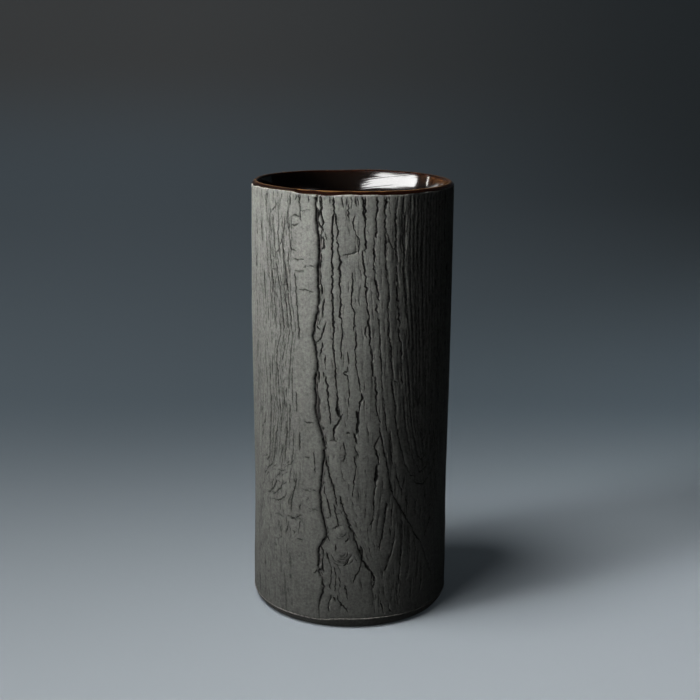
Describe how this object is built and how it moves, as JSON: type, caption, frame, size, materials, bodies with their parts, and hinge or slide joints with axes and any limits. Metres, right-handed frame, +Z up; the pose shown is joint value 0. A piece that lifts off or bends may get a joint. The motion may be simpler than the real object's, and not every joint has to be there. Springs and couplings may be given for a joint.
{
  "type": "cylinder vase",
  "caption": "Tall straight stoneware vase, slab-built, with a lapped seam, a cracked wood-grain outside, a bevelled lip and a glossy dark glazed inside.",
  "frame": {"origin": "centre of the foot, on the surface that the vase stands on", "axes": "+Z up along the vase's axis; the lapped seam faces -Y, a little towards -X"},
  "size_m": [0.101, 0.101, 0.217],
  "materials": {
    "black_clay": "matt, unglazed, grainy",
    "clay_slip": "matt, unglazed",
    "dark_glaze": "glossy black-brown",
    "lip_glaze": "thin glossy brown, breaking to gold on the crest"
  },
  "bodies": {
    "root": {"wall_slab": "black_clay", "base_slab": "black_clay", "corner_coil": "black_clay", "lap_slip": "clay_slip", "foot_slip": "clay_slip", "wall_glaze": "dark_glaze", "floor_glaze": "dark_glaze", "lip_glaze": "lip_glaze"}
  },
  "joints": []
}
